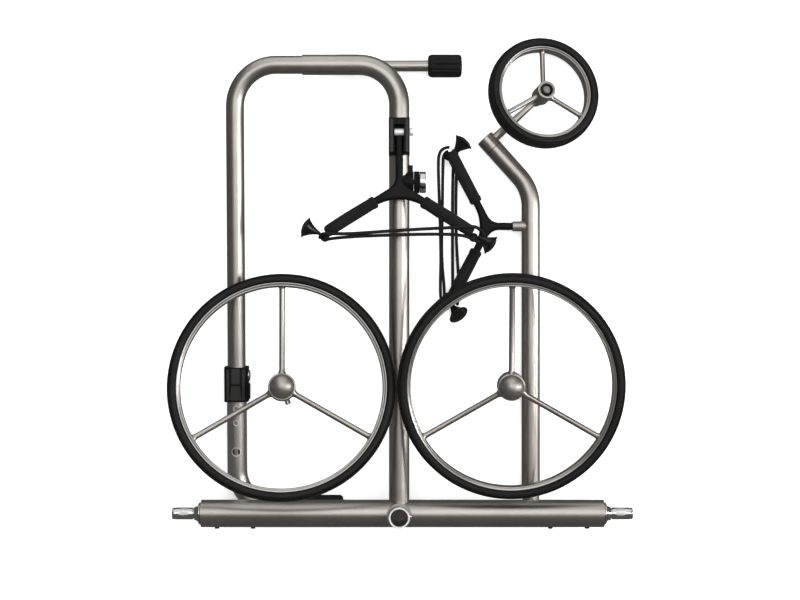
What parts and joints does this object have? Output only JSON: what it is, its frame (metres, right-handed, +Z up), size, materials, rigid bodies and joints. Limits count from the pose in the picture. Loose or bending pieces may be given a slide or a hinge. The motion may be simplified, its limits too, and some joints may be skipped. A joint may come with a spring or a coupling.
{
  "type": "golf trolley",
  "caption": "Three-wheel manual golf trolley in satin titanium, dismantled and laid flat: folded frame with two bag brackets, front tube with small wheel, two loose rear wheels.",
  "frame": {"origin": "on the floor, under the middle of the laid-out trolley's bounding box", "axes": "+X along the rear axle, +Y from the axle to the top of the folded frame, +Z up from the floor"},
  "size_m": [0.6068, 0.6504, 0.1248],
  "materials": {
    "satin_titanium": "bead-blasted satin, warm grey",
    "bright_steel": "bright plated",
    "dark_steel": "blackened",
    "tyre_rubber": "matt",
    "grip_rubber": "soft matt",
    "black_plastic": "fine moulded grain",
    "foam": "closed-cell foam",
    "elastic_cord": "braided sleeve"
  },
  "bodies": {
    "frame": {"axle_tube": "satin_titanium", "axle_screws": "dark_steel", "axle_end_caps": "satin_titanium", "left_axle_stub": "bright_steel", "right_axle_stub": "bright_steel", "main_tube": "satin_titanium", "socket_tube": "satin_titanium", "umbrella_saddle": "black_plastic", "umbrella_pivot": "bright_steel", "bracket_clamp": "black_plastic", "hinge_pin": "bright_steel", "accessory_clamp": "black_plastic"},
    "socket_button": {"socket_button": "bright_steel"},
    "knob": {"accessory_knob": "black_plastic", "accessory_knob_cap": "bright_steel"},
    "umbrella_arm": {"umbrella_arm": "satin_titanium", "umbrella_arm_grip": "grip_rubber"},
    "handle_upper": {"handle_upper_tube": "satin_titanium"},
    "handle_lower": {"handle_lower_tube": "satin_titanium", "height_collar": "black_plastic", "handle_grip": "grip_rubber"},
    "height_button": {"height_button": "bright_steel"},
    "upper_bracket": {"upper_yoke": "black_plastic", "upper_hinge_barrel": "bright_steel", "upper_left_pad": "foam", "upper_left_hook": "black_plastic", "upper_right_pad": "foam", "upper_right_hook": "black_plastic", "upper_cords": "elastic_cord"},
    "front_part": {"front_tube": "satin_titanium", "front_spigot": "satin_titanium", "bracket_stub": "bright_steel"},
    "lower_bracket": {"lower_yoke": "black_plastic", "lower_front_pad": "foam", "lower_front_hook": "black_plastic", "lower_rear_pad": "foam", "lower_rear_hook": "black_plastic", "lower_cords": "elastic_cord"},
    "fork": {"steering_collar": "satin_titanium", "fork_arm": "satin_titanium", "front_axle": "bright_steel"},
    "front_wheel": {"front_tyre": "tyre_rubber", "front_rim": "satin_titanium", "front_spokes": "satin_titanium", "front_hub": "satin_titanium"},
    "left_wheel_core": {"left_core": "satin_titanium"},
    "left_wheel": {"left_tyre": "tyre_rubber", "left_rim": "satin_titanium", "left_spokes": "satin_titanium", "left_hub": "satin_titanium", "left_bearings": "dark_steel"},
    "left_pin": {"left_release_pin": "bright_steel"},
    "right_wheel_core": {"right_core": "satin_titanium"},
    "right_wheel": {"right_tyre": "tyre_rubber", "right_rim": "satin_titanium", "right_spokes": "satin_titanium", "right_hub": "satin_titanium", "right_bearings": "dark_steel"},
    "right_pin": {"right_release_pin": "bright_steel"}
  },
  "joints": [
    {"name": "handle_fold", "type": "hinge", "parent": "frame", "child": "handle_upper", "pos_m": [-0.1519, 0.28627, 0.052], "axis": [1, 0, 0], "range_deg": [0, 176.5]},
    {"name": "handle_height", "type": "slide", "parent": "handle_upper", "child": "handle_lower", "axis": [0, -0.9981, -0.061], "range_m": [0, 0.06]},
    {"name": "height_button_press", "type": "slide", "parent": "handle_lower", "child": "height_button", "axis": [-1, 0, 0], "range_m": [0, 0.0018], "stiffness_N_per_m": 500},
    {"name": "upper_bracket_fold", "type": "hinge", "parent": "frame", "child": "upper_bracket", "pos_m": [-0.0043, 0.19477, 0.078], "axis": [-1, 0, 0], "range_deg": [0, 100]},
    {"name": "accessory_knob_turn", "type": "hinge", "parent": "frame", "child": "knob", "pos_m": [0.0157, 0.13127, 0.052], "axis": [1, 0, 0], "continuous": true},
    {"name": "umbrella_arm_swing", "type": "hinge", "parent": "frame", "child": "umbrella_arm", "pos_m": [-0.0736, 0.29047, 0.0156], "axis": [0, 0, 1], "range_deg": [0, 90]},
    {"name": "socket_button_press", "type": "slide", "parent": "frame", "child": "socket_button", "axis": [-1, 0, 0], "range_m": [0, 0.003], "stiffness_N_per_m": 600},
    {"name": "front_part_lift_off", "type": "slide", "parent": "frame", "child": "front_part", "axis": [1, 0, 0], "range_m": [0, 0.4]},
    {"name": "lower_bracket_swivel", "type": "hinge", "parent": "front_part", "child": "lower_bracket", "pos_m": [0.148, 0.07497, 0.0155], "axis": [1, 0, 0], "range_deg": [0, 40]},
    {"name": "front_steer", "type": "hinge", "parent": "front_part", "child": "fork", "pos_m": [0.11669, 0.18716, 0.0123], "axis": [-0.6691, 0.7431, 0], "range_deg": [-30, 30]},
    {"name": "front_wheel_spin", "type": "hinge", "parent": "fork", "child": "front_wheel", "pos_m": [0.18729, 0.25073, 0.038], "axis": [0.1923, 0.1732, 0.9659], "continuous": true},
    {"name": "left_wheel_lift_off", "type": "slide", "parent": "frame", "child": "left_wheel_core", "axis": [0, 0, 1], "range_m": [0, 0.25]},
    {"name": "left_wheel_spin", "type": "hinge", "parent": "left_wheel_core", "child": "left_wheel", "pos_m": [-0.1558, -0.13603, 0.092], "axis": [0.0691, 0.1392, 0.9879], "continuous": true},
    {"name": "left_pin_pull", "type": "slide", "parent": "left_wheel_core", "child": "left_pin", "axis": [0.3827, -0.9182, 0.1026], "range_m": [0, 0.003], "stiffness_N_per_m": 500},
    {"name": "right_wheel_lift_off", "type": "slide", "parent": "frame", "child": "right_wheel_core", "axis": [0, 0, 1], "range_m": [0, 0.25]},
    {"name": "right_wheel_spin", "type": "hinge", "parent": "right_wheel_core", "child": "right_wheel", "pos_m": [0.1407, -0.13603, 0.092], "axis": [0, -0.1045, 0.9945], "continuous": true},
    {"name": "right_pin_pull", "type": "slide", "parent": "right_wheel_core", "child": "right_pin", "axis": [0.3746, -0.9221, -0.0969], "range_m": [0, 0.003], "stiffness_N_per_m": 500}
  ]
}
